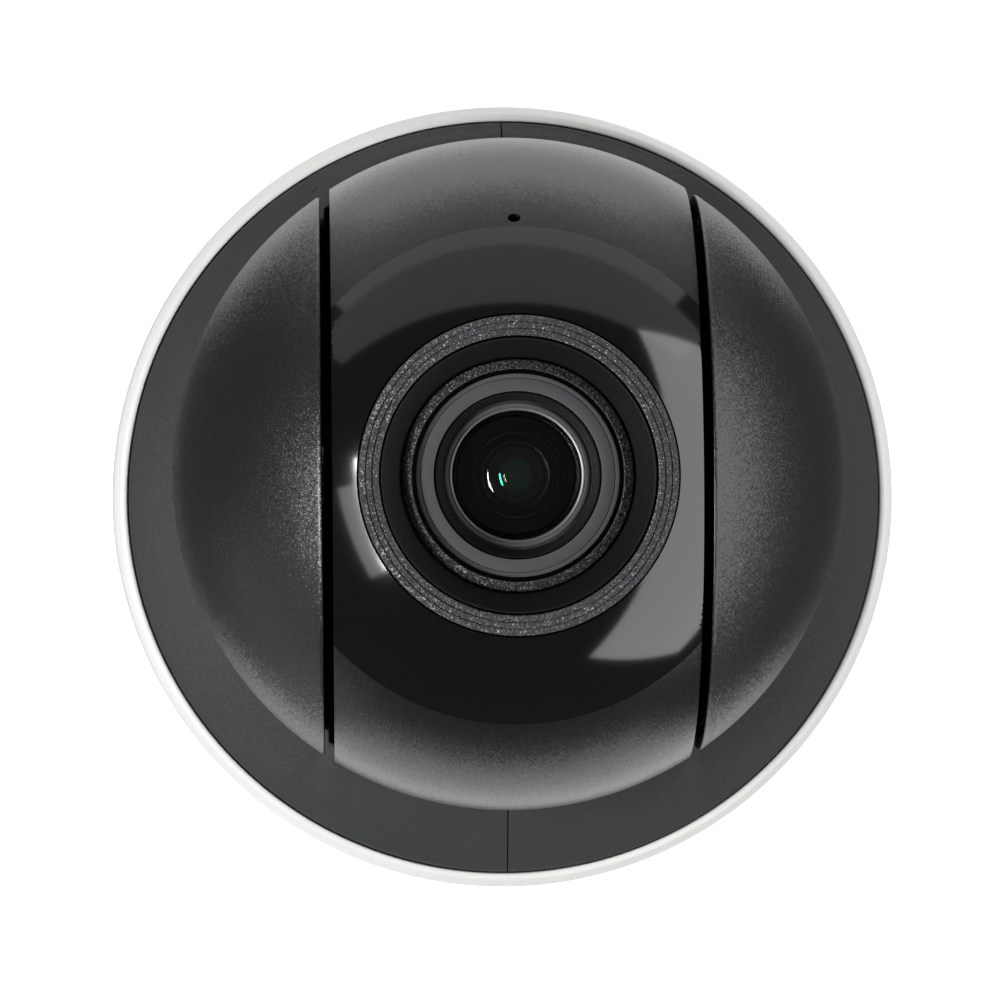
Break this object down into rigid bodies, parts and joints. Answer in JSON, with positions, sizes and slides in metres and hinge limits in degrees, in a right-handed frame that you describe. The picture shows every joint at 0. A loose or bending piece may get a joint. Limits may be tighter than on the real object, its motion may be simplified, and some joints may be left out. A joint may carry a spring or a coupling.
{
  "type": "security camera",
  "caption": "Small pan-tilt dome security camera: white round base, black turning head with two ears, tilting ball with a dark window and a zoom lens.",
  "frame": {"origin": "centre of the flat mounting face of the base, on the pan axis", "axes": "+Z along the pan axis, away from the mounting face, where the lens looks at rest; +X along the tilt axis; +Y towards the microphone hole"},
  "size_m": [0.1306, 0.1306, 0.1096],
  "materials": {
    "white_housing": "white powder coat over cast aluminium",
    "black_shell": "black satin paint with a fine sparkle over moulded ABS",
    "black_plastic": "black moulded plastic, or black paint on the cast turntable",
    "black_window": "polished black polycarbonate, clear to infrared",
    "coated_glass": "coated optical glass",
    "clear_glass": "clear optical element in its carrier",
    "satin_grey": "dark grey satin lacquer over aluminium",
    "bright_metal": "turned bright metal",
    "steel": "zinc-plated steel",
    "aluminium": "cast or pressed aluminium",
    "white_acetal": "moulded acetal",
    "black_rubber": "moulded rubber",
    "circuit_board": "glass-epoxy board with solder mask"
  },
  "bodies": {
    "base": {"mount_plate": "steel", "base_tray": "aluminium", "base_housing": "white_housing", "base_gasket": "black_rubber", "cable_grommet": "black_rubber", "main_board": "circuit_board", "service_cover": "black_plastic", "tray_screw_1": "steel", "tray_screw_2": "steel", "tray_screw_3": "steel", "pan_ring_gear": "white_acetal", "bearing_outer_race": "steel"},
    "pan_head": {"turntable": "black_plastic", "bearing_inner_race": "steel", "left_half_shell": "black_shell", "right_half_shell": "black_shell", "left_yoke": "black_plastic", "right_yoke": "black_plastic", "left_bushing": "bright_metal", "right_bushing": "bright_metal", "left_shell_screw": "steel", "right_shell_screw": "steel", "pan_motor": "steel", "tilt_motor": "steel", "head_board": "circuit_board", "home_sensor": "black_plastic"},
    "tilt_head": {"front_shell": "black_shell", "rear_shell": "black_shell", "front_window": "black_window", "window_seal": "black_rubber", "bezel_ring": "satin_grey", "lens_hood": "black_plastic", "barrel_collar": "satin_grey", "lens_ring": "satin_grey", "stepped_baffle": "black_plastic", "retaining_ring": "bright_metal", "front_lens": "coated_glass", "lens_barrel": "black_plastic", "guide_rod_left": "steel", "guide_rod_right": "steel", "inner_frame": "steel", "lamp_board": "circuit_board", "mic_capsule": "bright_metal", "iris_plate": "black_plastic", "sensor_mount": "black_plastic", "image_sensor": "coated_glass", "sensor_board": "circuit_board", "heat_sink": "aluminium", "right_journal": "steel", "left_journal": "steel", "tilt_gear": "white_acetal", "ball_screw_1": "steel", "ball_screw_2": "steel"},
    "bearing_cage": {"bearing_cage": "bright_metal"},
    "pan_pinion": {"pan_pinion": "white_acetal"},
    "tilt_pinion": {"tilt_pinion": "white_acetal"},
    "zoom_group": {"zoom_group": "clear_glass"},
    "focus_group": {"focus_group": "clear_glass"},
    "filter_slide": {"filter_slide": "clear_glass"},
    "reset_button": {"reset_button": "black_plastic"}
  },
  "joints": [
    {"name": "pan", "type": "hinge", "parent": "base", "child": "pan_head", "pos_m": [0, 0, 0.03], "axis": [0, 0, 1], "range_deg": [-175, 175]},
    {"name": "tilt", "type": "hinge", "parent": "pan_head", "child": "tilt_head", "pos_m": [0, 0.004, 0.06], "axis": [1, 0, 0], "range_deg": [0, 90]},
    {"name": "bearing_roll", "type": "hinge", "parent": "base", "child": "bearing_cage", "pos_m": [0, 0, 0.0288], "axis": [0, 0, 1], "range_deg": [-88, 88]},
    {"name": "pan_pinion_turn", "type": "hinge", "parent": "pan_head", "child": "pan_pinion", "pos_m": [-0.042, 0, 0.0226], "axis": [0, 0, 1], "range_deg": [-1050, 1050]},
    {"name": "tilt_pinion_turn", "type": "hinge", "parent": "pan_head", "child": "tilt_pinion", "pos_m": [0.0355, 0.004, 0.044], "axis": [1, 0, 0], "range_deg": [-270, 0]},
    {"name": "zoom", "type": "slide", "parent": "tilt_head", "child": "zoom_group", "axis": [0, 0, 1], "range_m": [0, 0.008]},
    {"name": "focus", "type": "slide", "parent": "tilt_head", "child": "focus_group", "axis": [0, 0, 1], "range_m": [0, 0.005]},
    {"name": "filter_shift", "type": "slide", "parent": "tilt_head", "child": "filter_slide", "axis": [1, 0, 0], "range_m": [0, 0.007]},
    {"name": "reset_press", "type": "slide", "parent": "base", "child": "reset_button", "axis": [0, 0, 1], "range_m": [0, 0.0006], "stiffness_N_per_m": 1000, "springref_m": -0.0003}
  ],
  "couplings": [
    {"joint": "bearing_roll", "follows": "pan", "ratio": 0.5},
    {"joint": "pan_pinion_turn", "follows": "pan", "ratio": -6},
    {"joint": "tilt_pinion_turn", "follows": "tilt", "ratio": -3}
  ]
}
